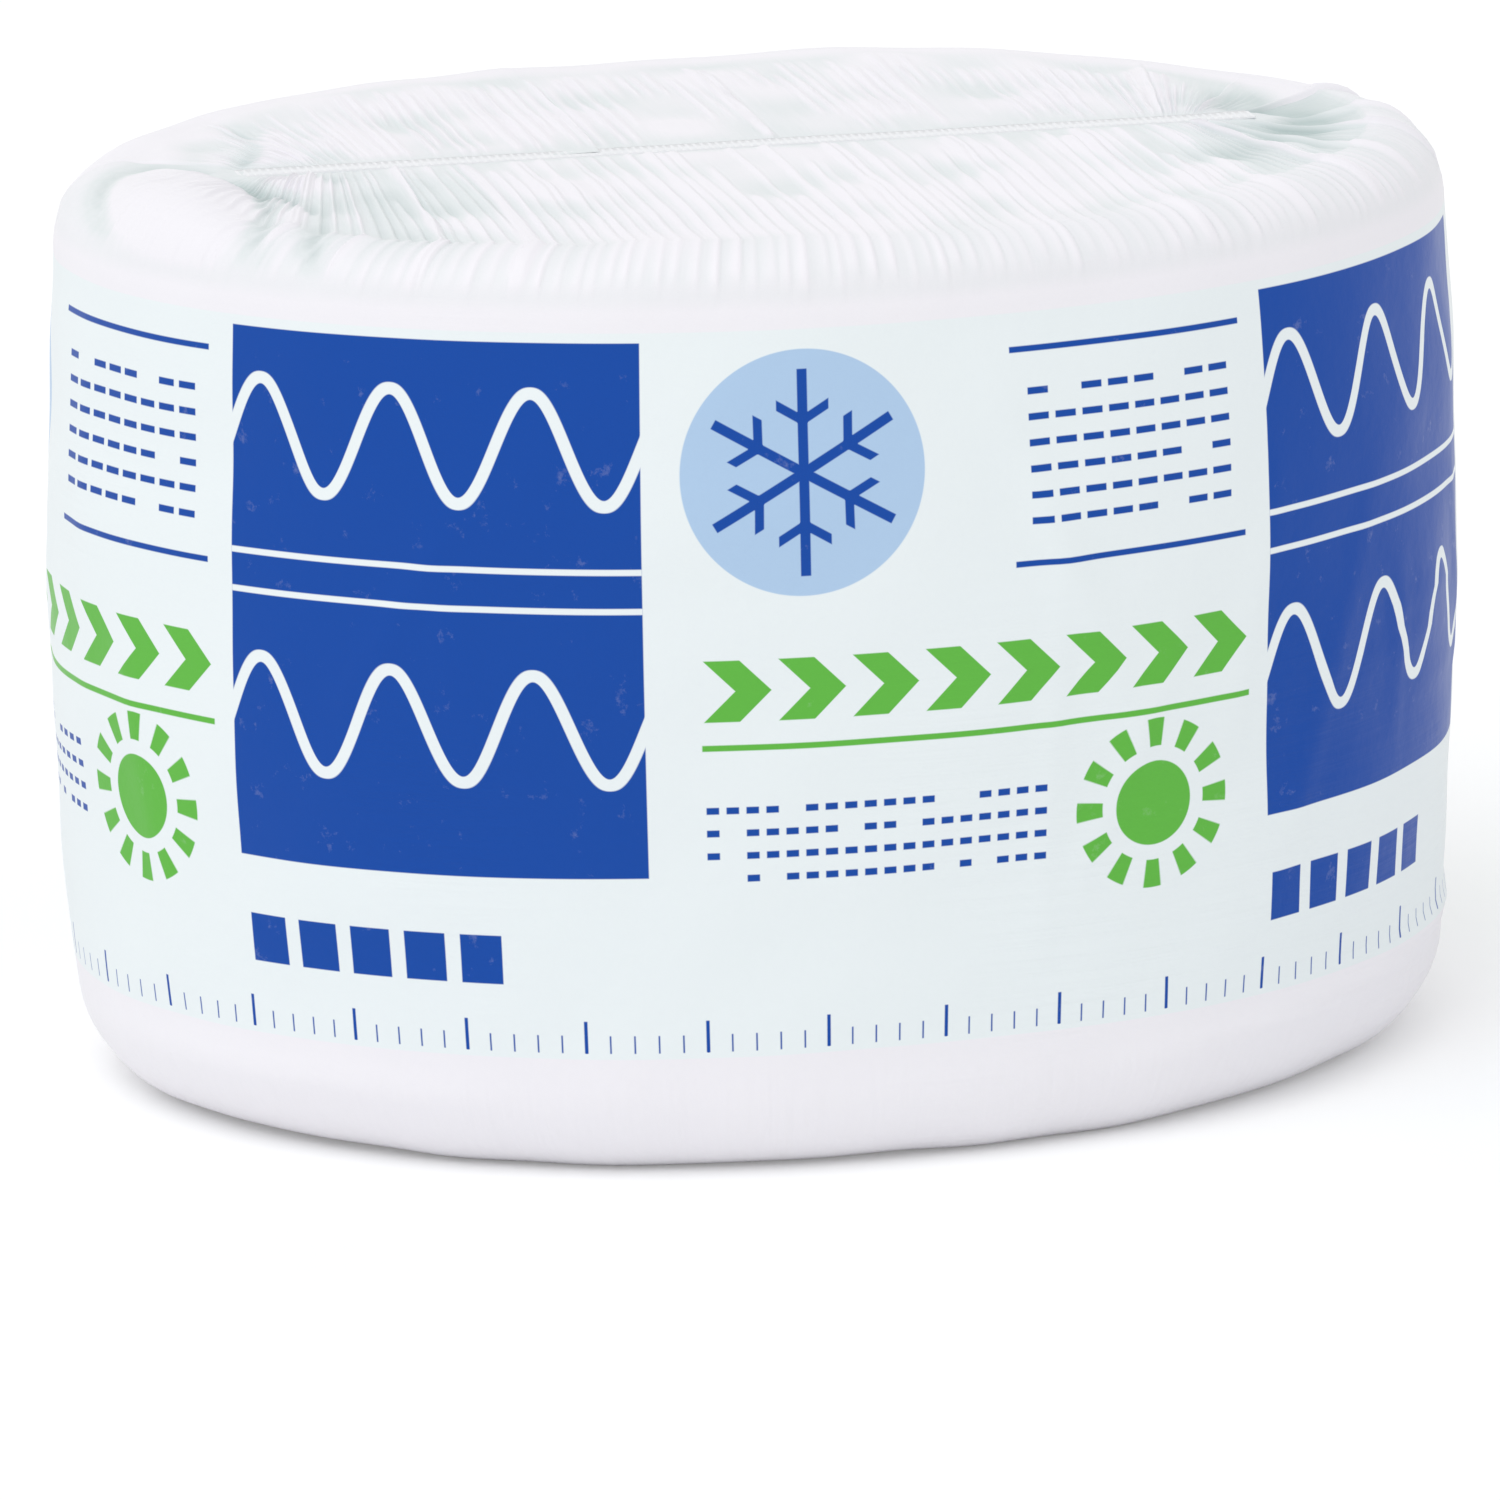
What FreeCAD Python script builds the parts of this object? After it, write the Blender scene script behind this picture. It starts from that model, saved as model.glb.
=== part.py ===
"""A wrapped roll of glass fibre insulation, standing on its end.

A blanket of glass wool is wound up tight, pressed to an oval, and shut in a sleeve of plastic film.
The film goes over both ends of the roll. Its heat sealed seam lies flat on the top end, along the
long axis of the oval.

Frame: millimetres, Z up, X along the long axis of the oval, origin at the middle of the foot.
"""

import os

import FreeCAD
import Part
import Sketcher

# Each row is an alias, its value in millimetres, and what it is.
SIZES = [
    ("batt_width", 381, "width of the blanket, which is the height of the standing roll"),
    ("roll_length", 592, "long way across the roll, at its belly"),
    ("roll_depth", 456, "short way across the roll, at its belly"),
    ("belly_height", 204, "height of the widest part of the roll above its lower end"),
    ("barrel_radius", 2080, "curve of the wall from end to end, which makes the belly"),
    ("foot_radius", 40, "rounding of the lower end"),
    ("shoulder_radius", 30, "rounding of the upper end"),
    ("film_thickness", 0.5, "wall of the film sleeve"),
    ("film_clearance", 0.3, "gap between the roll and the film"),
    ("foot_trim", 0.2, "depth cut off under the film, which leaves its foot a true plane"),
    ("seam_length", 430, "length of the seam strip on the top end"),
    ("seam_width", 16, "width of the seam strip"),
    ("seam_thickness", 1, "the two layers of film in the seam strip"),
]

SHEET = "Sizes"
# How far the outside and the inside of the film lie from the bare roll, and the roll's place.
BARE = "0"
FILM_INSIDE = f"{SHEET}.film_clearance"
FILM_OUTSIDE = f"({SHEET}.film_clearance + {SHEET}.film_thickness)"

# The ends of a sketch's line or arc, and the sketch's own origin and upright axis.
START, END, CENTRE = 1, 2, 3
SKETCH_ORIGIN = (-1, 1)
UPRIGHT_AXIS = -2


def cell(alias):
    """The expression that reads one cell of the sheet."""
    return f"{SHEET}.{alias}"


def make_sheet(doc):
    sheet = doc.addObject("Spreadsheet::Sheet", SHEET)
    for row, (alias, value, note) in enumerate(SIZES, start=1):
        sheet.set(f"A{row}", alias)
        sheet.set(f"B{row}", str(value))
        sheet.set(f"C{row}", note)
        sheet.setAlias(f"B{row}", alias)
    doc.recompute()
    return sheet


def origin_feature(body, role):
    """A plane or axis of the body's own origin."""
    return next(f for f in body.Origin.OriginFeatures if f.Role == role)


def draw_draft_profile(sketch, sheet):
    """Half of the roll's upright section, roughly in place, for the constraints to pull to size."""
    half = sheet.roll_length / 2
    foot, shoulder, height = sheet.foot_radius, sheet.shoulder_radius, sheet.batt_width
    barrel, belly = sheet.barrel_radius, sheet.belly_height
    point = FreeCAD.Vector
    level, upright = point(0, 0, 1), point(1, 0, 0)

    def arc(centre, radius, first, last):
        """An arc about a centre, from one point's direction to another's."""
        angles = [
            (spot - centre).getAngle(upright) * (1 if spot.y >= centre.y else -1)
            for spot in (first, last)
        ]
        return Part.ArcOfCircle(Part.Circle(centre, level, radius), *angles)

    foot_start, foot_end = point(half - foot, 0, 0), point(half, foot, 0)
    shoulder_start, shoulder_end = point(half, height - shoulder, 0), point(half - shoulder, height, 0)
    sketch.addGeometry(Part.LineSegment(point(0, 0, 0), foot_start))
    sketch.addGeometry(arc(point(half - foot, foot, 0), foot, foot_start, foot_end))
    sketch.addGeometry(arc(point(half - barrel, belly, 0), barrel, foot_end, shoulder_start))
    sketch.addGeometry(
        arc(point(half - shoulder, height - shoulder, 0), shoulder, shoulder_start, shoulder_end)
    )
    sketch.addGeometry(Part.LineSegment(shoulder_end, point(0, height, 0)))
    sketch.addGeometry(Part.LineSegment(point(0, height, 0), point(0, 0, 0)))


def section_sketch(body, label, sheet, grow, drop):
    """Half of the roll's upright section, grown outwards and dropped at its foot by expressions."""
    sketch = body.newObject("Sketcher::SketchObject", f"{label}_section")
    sketch.AttachmentSupport = [(origin_feature(body, "XZ_Plane"), "")]
    sketch.MapMode = "FlatFace"
    draw_draft_profile(sketch, sheet)
    foot_line, foot, barrel, shoulder, head_line, axis_line = range(6)
    rule = Sketcher.Constraint
    for first, following in ((foot_line, foot), (foot, barrel), (barrel, shoulder), (shoulder, head_line)):
        sketch.addConstraint(rule("Tangent", first, END, following, START))
    sketch.addConstraint(rule("Coincident", head_line, END, axis_line, START))
    sketch.addConstraint(rule("Coincident", axis_line, END, foot_line, START))
    sketch.addConstraint(rule("Horizontal", foot_line))
    sketch.addConstraint(rule("Horizontal", head_line))
    sketch.addConstraint(rule("PointOnObject", axis_line, START, UPRIGHT_AXIS))
    sketch.addConstraint(rule("PointOnObject", axis_line, END, UPRIGHT_AXIS))

    def drive(constraint, expression):
        index = sketch.addConstraint(constraint)
        sketch.setExpression(f"Constraints[{index}]", expression)

    half = sheet.roll_length / 2
    drive(rule("Radius", foot, sheet.foot_radius), f"{cell('foot_radius')} + {grow}")
    drive(rule("Radius", shoulder, sheet.shoulder_radius), f"{cell('shoulder_radius')} + {grow}")
    drive(rule("Radius", barrel, sheet.barrel_radius), f"{cell('barrel_radius')} + {grow}")
    drive(
        rule("DistanceX", barrel, CENTRE, *SKETCH_ORIGIN, sheet.barrel_radius - half),
        f"{cell('barrel_radius')} - {cell('roll_length')} / 2",
    )
    drive(
        rule("DistanceY", *SKETCH_ORIGIN, barrel, CENTRE, sheet.belly_height),
        f"{FILM_OUTSIDE} + {cell('belly_height')}",
    )
    drive(
        rule("DistanceY", foot_line, START, barrel, CENTRE, sheet.belly_height),
        f"{cell('belly_height')} + {grow} + {drop}",
    )
    drive(
        rule("DistanceY", foot_line, START, head_line, END, sheet.batt_width),
        f"{cell('batt_width')} + 2 * {grow} + {drop}",
    )
    return sketch


def oval_roll(doc, sheet, label, grow, drop="0"):
    """The roll's barrel shape, turned round and then pressed to an oval, larger by grow all over."""
    body = doc.addObject("PartDesign::Body", f"{label}_round")
    turned = body.newObject("PartDesign::Revolution", f"{label}_turned")
    turned.Profile = section_sketch(body, label, sheet, grow, drop)
    turned.ReferenceAxis = (origin_feature(body, "Z_Axis"), [""])
    turned.Angle = 360
    pressed = doc.addObject("Part::Scale", label)
    pressed.Label = label
    pressed.Base = body
    pressed.Uniform = False
    pressed.XScale = 1
    pressed.ZScale = 1
    pressed.setExpression(
        "YScale",
        f"({cell('roll_depth')} / 2 + {grow}) / ({cell('roll_length')} / 2 + {grow})",
    )
    doc.recompute()
    return pressed


def seam_strip(doc):
    """The flat strip of the heat sealed seam. It reaches down through the film that it belongs to."""
    strip = doc.addObject("Part::Box", "seam_strip")
    strip.setExpression("Length", cell("seam_length"))
    strip.setExpression("Width", cell("seam_width"))
    strip.setExpression("Height", f"{cell('film_thickness')} + {cell('seam_thickness')}")
    strip.setExpression(".Placement.Base.x", f"-{cell('seam_length')} / 2")
    strip.setExpression(".Placement.Base.y", f"-{cell('seam_width')} / 2")
    strip.setExpression(
        ".Placement.Base.z",
        f"{FILM_OUTSIDE} + {cell('batt_width')} + {cell('film_clearance')}",
    )
    return strip


def foot_cutter(doc):
    """A slab just under the floor, wider than the roll. Pressing the roll to an oval leaves its level
    ends as splines, so the film starts a little low and this slab cuts its foot flat."""
    slab = doc.addObject("Part::Box", "foot_cutter")
    slab.setExpression("Length", f"2 * {cell('roll_length')}")
    slab.setExpression("Width", f"2 * {cell('roll_depth')}")
    slab.setExpression("Height", f"2 * {cell('foot_trim')}")
    slab.setExpression(".Placement.Base.x", f"-{cell('roll_length')}")
    slab.setExpression(".Placement.Base.y", f"-{cell('roll_depth')}")
    slab.setExpression(".Placement.Base.z", f"-2 * {cell('foot_trim')}")
    return slab

def film_sleeve(doc, sheet):
    """The film: its outside and its seam, with the room for the roll cut out."""
    outside = doc.addObject("Part::Cut", "film_outside_flat_foot")
    outside.Base = oval_roll(doc, sheet, "film_outside", FILM_OUTSIDE, cell("foot_trim"))
    outside.Tool = foot_cutter(doc)
    sleeve = doc.addObject("Part::Cut", "film_sleeve")
    sleeve.Base = outside
    sleeve.Tool = oval_roll(doc, sheet, "film_inside", FILM_INSIDE)
    film = doc.addObject("Part::Fuse", "film_wrapper")
    film.Label = "film_wrapper"
    film.Base = sleeve
    film.Tool = seam_strip(doc)
    doc.recompute()
    return film


def check(doc, parts):
    """Stops the build if an object failed or a part isn't one valid solid."""
    for item in doc.Objects:
        if any(word in item.State for word in ("Invalid", "Error")):
            raise RuntimeError(f"{item.Label} did not compute: {item.State}")
    for part in parts:
        if part.Shape.isNull() or not part.Shape.isValid() or len(part.Shape.Solids) != 1:
            raise RuntimeError(f"{part.Label} is not one valid solid")


def main():
    doc = FreeCAD.newDocument("wrapped_roll")
    sheet = make_sheet(doc)
    parts = [oval_roll(doc, sheet, "insulation_roll", BARE), film_sleeve(doc, sheet)]
    doc.recompute()
    check(doc, parts)
    os.makedirs("parts", exist_ok=True)
    for part in parts:
        part.Shape.exportStep(f"parts/{part.Label}.step")
        box = part.Shape.optimalBoundingBox()
        print(
            f"{part.Label}: {part.Shape.Volume / 1e6:.3f} litres,"
            f" {box.XLength:.2f} x {box.YLength:.2f} x {box.ZLength:.2f} mm,"
            f" from z {box.ZMin:.2f} to {box.ZMax:.2f}"
        )


main()
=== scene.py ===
# %% [markdown]
# # A wrapped roll of glass fibre insulation
# A long blanket of glass wool is wound up tight, pressed to an oval, and shut in a printed plastic
# sleeve. It stands on one end. The sleeve is a tube made from one flat web of film: its two long
# edges lap at the back, and each mouth is pinched to a line and heat sealed. All that shows is film,
# so most of this lesson is about film: how it lies on a soft body, how it gathers where a mouth is
# pinched, and how a print sits on it.
#
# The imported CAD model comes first, because every piece takes its place from it.

# %% Load the frame
from math import asin, cos, pi, radians, sin, sqrt

import bpy
import numpy as np
from mathutils import Matrix, Vector


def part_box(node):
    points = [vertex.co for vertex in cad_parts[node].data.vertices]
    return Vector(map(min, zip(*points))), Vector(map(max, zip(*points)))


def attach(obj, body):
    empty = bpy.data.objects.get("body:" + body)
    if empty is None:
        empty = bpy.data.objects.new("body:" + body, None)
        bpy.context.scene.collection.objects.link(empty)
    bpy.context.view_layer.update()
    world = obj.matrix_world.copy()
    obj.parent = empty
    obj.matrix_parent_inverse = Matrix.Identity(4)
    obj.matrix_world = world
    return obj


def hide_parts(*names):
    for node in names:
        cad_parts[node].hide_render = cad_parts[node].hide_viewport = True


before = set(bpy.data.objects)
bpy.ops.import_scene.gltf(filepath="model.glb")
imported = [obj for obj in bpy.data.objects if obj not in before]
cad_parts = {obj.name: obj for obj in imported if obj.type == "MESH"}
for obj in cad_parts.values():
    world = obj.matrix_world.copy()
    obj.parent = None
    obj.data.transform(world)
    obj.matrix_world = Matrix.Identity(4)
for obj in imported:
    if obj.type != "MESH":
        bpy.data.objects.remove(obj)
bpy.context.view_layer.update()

BODY = "root"

# %% [markdown]
# ## The shape of the pack
# From the side the wall is a very slack arc, a belly, with a round foot and a round shoulder. From
# above it is an oval. So one upright section, swept round a circle and pressed in depth, gives every
# point of the wall. Its length, depth and height are read from the CAD film, and its radii are the
# construction's own.

# %% Sizes of the pack
film_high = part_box("film_wrapper")[1]
HALF_LENGTH = film_high[0]
HALF_DEPTH = film_high[1]
PRESS = HALF_DEPTH / HALF_LENGTH
SEAL_THICKNESS = 0.001
TOP = film_high[2] - SEAL_THICKNESS
BELLY = 0.2048
BARREL_RADIUS = 2.0808
FOOT_RADIUS = 0.0408
SHOULDER_RADIUS = 0.0308
SEAL_LENGTH = 0.430
SEAL_WIDTH = 0.016

# The arcs of the section touch each other smoothly, which gives the middles of the two small ones.
barrel_middle = HALF_LENGTH - BARREL_RADIUS
foot_lean = asin((BELLY - FOOT_RADIUS) / (BARREL_RADIUS - FOOT_RADIUS))
foot_middle = barrel_middle + (BARREL_RADIUS - FOOT_RADIUS) * cos(foot_lean)
shoulder_lean = asin((TOP - SHOULDER_RADIUS - BELLY) / (BARREL_RADIUS - SHOULDER_RADIUS))
shoulder_middle = barrel_middle + (BARREL_RADIUS - SHOULDER_RADIUS) * cos(shoulder_lean)
print(f"level top {2000 * shoulder_middle:.0f} x {2000 * PRESS * shoulder_middle:.0f} mm")

# %% [markdown]
# The film is measured round the oval, from the lap at the back, the way a tape would be laid round
# it. There is no plain formula for the length of an oval's arc, so a fine table of angles is added up
# once, and then read both ways.

# %% Measuring round the oval
LAP_ANGLE = radians(104)
LAP_WIDTH = 0.026
TABLE_REACH = 2.2 * pi    # a little over one turn, for the lap
TABLE_STEPS = 8000

table_angles = LAP_ANGLE + np.linspace(0, TABLE_REACH, TABLE_STEPS)
table_steps = np.hypot(
    np.diff(HALF_LENGTH * np.cos(table_angles)), np.diff(HALF_DEPTH * np.sin(table_angles))
)
table_girths = np.concatenate([[0], np.cumsum(table_steps)])

def angle_at(girth):
    """The angle round the oval at a distance round the sleeve from its lap, seen from above."""
    return np.interp(girth, table_girths, table_angles)

def girth_at(angle):
    """The distance round the sleeve, from its lap, of an angle round the oval."""
    return float(np.interp(angle, table_angles, table_girths))

GIRTH = girth_at(LAP_ANGLE + 2 * pi)
WEB_WIDTH = GIRTH + LAP_WIDTH
print(f"girth {GIRTH:.3f} m, web {WEB_WIDTH:.3f} m wide")

# %% [markdown]
# ## Rows of the sleeve
# The sleeve is a net of rows and columns, like the flat web it was cut from. A row is a level line
# round the pack. It needs its radius, its height, the way the surface faces there, and how far across
# a closed end it lies. The shoulder and the gathered top need closer rows than the wall.

# %% The rows
FOOT_ROWS = 12
WALL_ROWS = 60
SHOULDER_ROWS = 10
TOP_ROWS = 26
UNDER_ROWS = 9

def arc_rows(middle, level, radius, first, last, count):
    """Rows along one arc of the section: radius, height, outward and upward parts of the normal."""
    turn = np.linspace(first, last, count + 1)
    return np.stack(
        [middle + radius * np.cos(turn), level + radius * np.sin(turn), np.cos(turn), np.sin(turn)],
        axis=1,
    )

foot = arc_rows(foot_middle, FOOT_RADIUS, FOOT_RADIUS, -pi / 2, -foot_lean, FOOT_ROWS)
wall = arc_rows(barrel_middle, BELLY, BARREL_RADIUS, -foot_lean, shoulder_lean, WALL_ROWS)
shoulder = arc_rows(
    shoulder_middle, TOP - SHOULDER_RADIUS, SHOULDER_RADIUS, shoulder_lean, pi / 2, SHOULDER_ROWS
)

def end_rows(radius, height, facing, shares):
    """Rows across a closed end. The last number is the share of the way from its rim to its seal."""
    return np.array([[radius, height, 0.0, facing, share] for share in shares])

def with_share(rows):
    """Rows that aren't on a closed end, with a share of 0."""
    return np.hstack([rows, np.zeros((len(rows), 1))])

under = end_rows(foot_middle, 0.0, -1.0, np.linspace(1, 0, UNDER_ROWS + 1)[:-1])
top = end_rows(shoulder_middle, TOP, 1.0, np.linspace(0, 1, TOP_ROWS + 1)[1:])
wide_rows = np.vstack([under, with_share(foot), with_share(wall[1:])])
close_rows = np.vstack([with_share(shoulder[1:]), top])
print(f"{len(wide_rows)} wide rows and {len(close_rows)} close rows")

# %% [markdown]
# ## Where the film goes across the end
# The mouth of the tube is pinched to a straight line along the oval. Over most of that line the film
# runs straight across. At the two ends it has to turn in from the round end of the oval, so it fans
# out from the end of the seal. A smooth limit on where a strand may land gives both.

# %% Strands across a closed end
PINCH_HALF = 0.200
PINCH_SHARPNESS = 6

def pinch(reach):
    """Where a strand that starts this far along the oval lands on the line of the seal."""
    return reach / (1 + np.abs(reach / PINCH_HALF) ** PINCH_SHARPNESS) ** (1 / PINCH_SHARPNESS)

def lay_web(rows, girths):
    """The smooth surface: points, and the directions they face, for rows and distances round it."""
    angle = angle_at(girths)[None, :]
    radius, height, outward, upward, share = (rows[:, k][:, None] for k in range(5))
    rim_x = radius * np.cos(angle)
    rim_y = PRESS * radius * np.sin(angle)
    x = rim_x + share * (pinch(rim_x) - rim_x)
    points = np.stack([x, rim_y * (1 - share), np.broadcast_to(height, x.shape)], axis=-1)
    tilt = np.broadcast_to(upward, x.shape)
    facing = np.stack([outward * np.cos(angle), outward * np.sin(angle) / PRESS, tilt], axis=-1)
    return points, facing / np.linalg.norm(facing, axis=-1, keepdims=True)

# %% [markdown]
# ## Relief: what the film does on its own
# A tight film on a soft body is never quite smooth. Three things are added to the smooth surface, all
# as a height along its normal: **swell**, the slow unevenness of the wool under the film, **creases**,
# the long thin lines along which it pulls, and **pleats**, where a wide mouth is pinched to a line.
#
# Noise from a texture would do for the first, but it wouldn't meet itself at the lap, so waves with a
# whole number of turns round the girth are added up instead.

# %% Swell
def swell(rng, girth, along, height, longest, shortest, count):
    """Random slow waves that meet themselves round the sleeve, mostly within the height."""
    total = np.zeros(np.broadcast(girth, along).shape)
    for _ in range(count):
        length = rng.uniform(shortest, longest)
        heading = rng.uniform(0, pi)
        turns = round(GIRTH * cos(heading) / length)
        phase = rng.uniform(0, 2 * pi)
        total += np.cos(2 * pi * (turns * girth / GIRTH + sin(heading) * along / length) + phase)
    return height * (total / sqrt(count))

# %% [markdown]
# A crease is a soft ridge along a straight line on the flat web, thinning out towards its ends. It is
# measured round the sleeve the short way, so that it may run over the lap.

# %% Creases
def around(distance):
    """A distance round the sleeve, taken the short way."""
    return (distance + GIRTH / 2) % GIRTH - GIRTH / 2

def crease(girth, along, start, end, height, width):
    """A ridge on the web from start to end, each a distance round it and a distance up it."""
    run = np.array([end[0] - start[0], end[1] - start[1]])
    length = np.hypot(*run)
    run /= length
    across_web = around(girth - start[0])
    up_web = along - start[1]
    travel = across_web * run[0] + up_web * run[1]
    offset = across_web * run[1] - up_web * run[0]
    taper = np.clip(travel / length, 0, 1) * np.clip(1 - travel / length, 0, 1) * 4
    return height * np.sqrt(taper) * np.exp(-((offset / width) ** 2))

# %% [markdown]
# A pleat is a fold that has been laid over: a gentle rise on one side and a steep drop on the other.
# In front pleats start on the shoulder, and at the back further in, where the film is slack. Near the
# ends of the seal the strands crowd together, so they are lower there.

# %% Pleats
PLEAT_PITCH = 0.0074
PITCH_VARIES = (0.75, 1.25)
PLEAT_HEIGHT = 0.0021
HEIGHT_VARIES = (0.35, 1.0)
PLEAT_ON_RIM = 0.45
PLEAT_GENTLE = 0.0048
GENTLE_VARIES = (0.7, 1.5)
PLEAT_STEEP = 0.0015
PLEAT_LEAN = 0.010
FRONT_STARTS = (0.008, 0.016)
BACK_STARTS = (0.062, 0.095)
STOPS = [0.55, 0.8, 1.2, 1.2]    # shares of the way to the seal, over 1 where a pleat reaches it
RIM_FADE = 0.007
SEAL_FADE = 0.018
NEARBY = 0.02

def fold_across(distance, gentle, steep):
    """The height across one pleat, from 0 to 1, 1 at its folded edge."""
    side = np.where(distance < 0, 1 + distance / gentle, 1 - distance / steep)
    side = np.clip(side, 0, 1)
    return side * side * (3 - 2 * side)

def stretch(along, first, last, fade, last_fade=None):
    """1 between first and last, easing to 0 at each end over fade, or over last_fade at the last."""
    rise = np.clip((along - first) / fade, 0, 1)
    return rise * np.clip((last - along) / (last_fade or fade), 0, 1)

def pleats(rng, girth, past_shoulder, end_of_top):
    """Gathers round the sleeve, from the shoulder in towards the seal."""
    total = np.zeros(girth.shape)
    place = 0.0
    while place < GIRTH:
        lean = rng.normal(0, PLEAT_LEAN)
        tall = PLEAT_HEIGHT * rng.uniform(*HEIGHT_VARIES)
        behind = sin(float(angle_at(place))) > 0
        first = rng.uniform(*(BACK_STARTS if behind else FRONT_STARTS))
        last = end_of_top * rng.choice(STOPS)
        size = rng.uniform(*GENTLE_VARIES)
        near = np.abs(around(girth[0] - place)) < NEARBY
        depth = past_shoulder[:, near]
        offset = around(girth[:, near] - place) - lean * (depth - first)
        folded = fold_across(offset, size * PLEAT_GENTLE, PLEAT_STEEP)
        fade = SEAL_FADE if behind else RIM_FADE
        total[:, near] += tall * folded * stretch(depth, first, last, fade, SEAL_FADE)
        place += PLEAT_PITCH * rng.uniform(*PITCH_VARIES)
    return total

# %% [markdown]
# At each end of the seal the spare film makes a **dog ear**, shut in by folds that run from the end of
# the seal out to the rim. The left one has blown up into a round pillow, with a narrow hollow beside it
# and a groove across the end. The right one has sunk into a wide hollow with folds like the ribs of a
# fan. The folds lie along strands, so they stay sharp on the net.

# %% Dog ears
# Each hollow has the angle of its end of the oval, the height of its middle, the degrees from that end
# at which it starts and stops, and its folds: degrees, height, and the side on which the fold drops.
LEFT_FOLDS = ((-36, 0.0018, 1), (-12, 0.0006, 1), (14, 0.0007, -1), (36, 0.0018, 1))
WEDGE_FOLDS = ((44, 0.0012, -1), (53, 0.0016, 1), (61, 0.0022, -1))
RIGHT_FOLDS = (
    (-58, 0.0024, 1), (-46, 0.0018, 1), (-35, 0.0026, -1), (-24, 0.0021, 1), (-12, 0.0028, -1),
    (0, 0.0021, 1), (12, 0.0024, -1), (26, 0.0018, 1), (40, 0.0018, -1),
)
EARS = (
    (pi, 0.0, -40, 40, LEFT_FOLDS),
    (pi, -0.0026, 36, 64, WEDGE_FOLDS),
    (2 * pi, -0.0048, -60, 42, RIGHT_FOLDS),
)
FOLD_GENTLE = 0.010
FOLD_STEEP = 0.0017
FOLD_STARTS = (0.010, 0.050)    # in front and behind
FOLD_FADE = 0.022
HOLLOW_STARTS = 0.10
HOLLOW_RUNS = 0.88
FAR = 1.0    # further than any strand reaches

def dog_ear(girth, share, past_shoulder, end_angle, middle_height, start, stop, folds):
    """The folds and the hollow of film at one end of the seal."""
    angle = angle_at(girth)
    from_end = (angle - end_angle + pi) % (2 * pi) - pi
    way = (from_end - radians(start)) / radians(stop - start)
    middle = np.sin(pi * np.clip(way, 0, 1))
    reach = np.sin(pi * np.clip(HOLLOW_STARTS + HOLLOW_RUNS * share, 0, 1))
    total = middle_height * middle * reach * (share > 0)
    first = np.where(np.sin(angle) > 0.3, FOLD_STARTS[1], FOLD_STARTS[0])
    for degrees, tall, side in folds:
        place = girth_at(end_angle + radians(degrees))
        folded = fold_across(side * around(girth - place), FOLD_GENTLE, FOLD_STEEP)
        total = total + tall * folded * stretch(past_shoulder, first, FAR, FOLD_FADE)
    return total

PILLOW_MIDDLE = (-0.248, -0.056)
PILLOW_REACH = (0.030, 0.074)
PILLOW_HEIGHT = 0.0060
RING_GROOVE = 0.0024
RING_SIZE = 1.1
RING_WIDTH = 0.14
CROSS_GROOVE = 0.0026
CROSS_WIDTH = 0.0055
WINDING = (-0.206, 0.009, 0.16, 1.2)    # the groove's x, and how far, how often and where it sways
CROSS_RUN = (-0.20, 0.13, 0.05)    # where it starts and stops, and the length of its fade

def pillow(points):
    """A round pillow of film with a groove round it, from points on the end."""
    x, y = points[:, :, 0], points[:, :, 1]
    out = np.hypot((x - PILLOW_MIDDLE[0]) / PILLOW_REACH[0], (y - PILLOW_MIDDLE[1]) / PILLOW_REACH[1])
    dome = np.clip(1 - out**2, 0, 1) ** 1.5
    ring = np.exp(-(((out - RING_SIZE) / RING_WIDTH) ** 2))
    line, sway, wave, phase = WINDING
    off_line = x - (line + sway * np.sin(2 * pi * y / wave - phase))
    cross = np.exp(-((off_line / CROSS_WIDTH) ** 2)) * stretch(y, *CROSS_RUN)
    return PILLOW_HEIGHT * dome - RING_GROOVE * ring - CROSS_GROOVE * cross

def from_seal(points):
    """Distance of points on the end from the line of the seal."""
    beyond = np.maximum(np.abs(points[:, :, 0]) - SEAL_LENGTH / 2, 0)
    return np.hypot(beyond, points[:, :, 1])

# %% [markdown]
# Now the relief of the whole sleeve can be added up for any set of rows and columns. Along the web,
# distances are counted from the belly line. Past the shoulder they go on across the top.

# %% Creases of tight film
TENSION_CREASES = 26
TENSION_STARTS = (0.02, 0.15)
TENSION_LEAN = 0.05
TENSION_RUNS = (0.07, 0.20)
TENSION_HEIGHTS = (0.0005, 0.0012)
TENSION_WIDTHS = (0.006, 0.010)
# Creases that run round the pack: the angles and levels of both ends, the height and the width.
LEVEL_CREASES = (
    (290, 358, -0.172, -0.148, 0.0032, 0.0065),
    (188, 240, -0.166, -0.172, 0.0016, 0.0070),
    (322, 340, -0.006, -0.002, 0.0009, 0.006),
    (318, 333, -0.026, -0.018, 0.0008, 0.006),
    (326, 346, -0.044, -0.040, 0.0007, 0.006),
)

def tight_creases(rng, girth, along):
    """The creases down the wall, at random, and those that run round the pack."""
    total = np.zeros(girth.shape)
    for _ in range(TENSION_CREASES):
        start = (rng.uniform(0, GIRTH), rng.uniform(*TENSION_STARTS))
        run = (rng.normal(0, TENSION_LEAN), -rng.uniform(*TENSION_RUNS))
        end = (start[0] + run[0], start[1] + run[1])
        tall = rng.uniform(*TENSION_HEIGHTS)
        total += crease(girth, along, start, end, tall, rng.uniform(*TENSION_WIDTHS))
    for first, last, low, high, tall, width in LEVEL_CREASES:
        start = (girth_at(radians(first)), low)
        end = (girth_at(radians(last)), high)
        total += crease(girth, along, start, end, tall, width)
    return total

# %% Relief of the whole sleeve
SEED = 19
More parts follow.
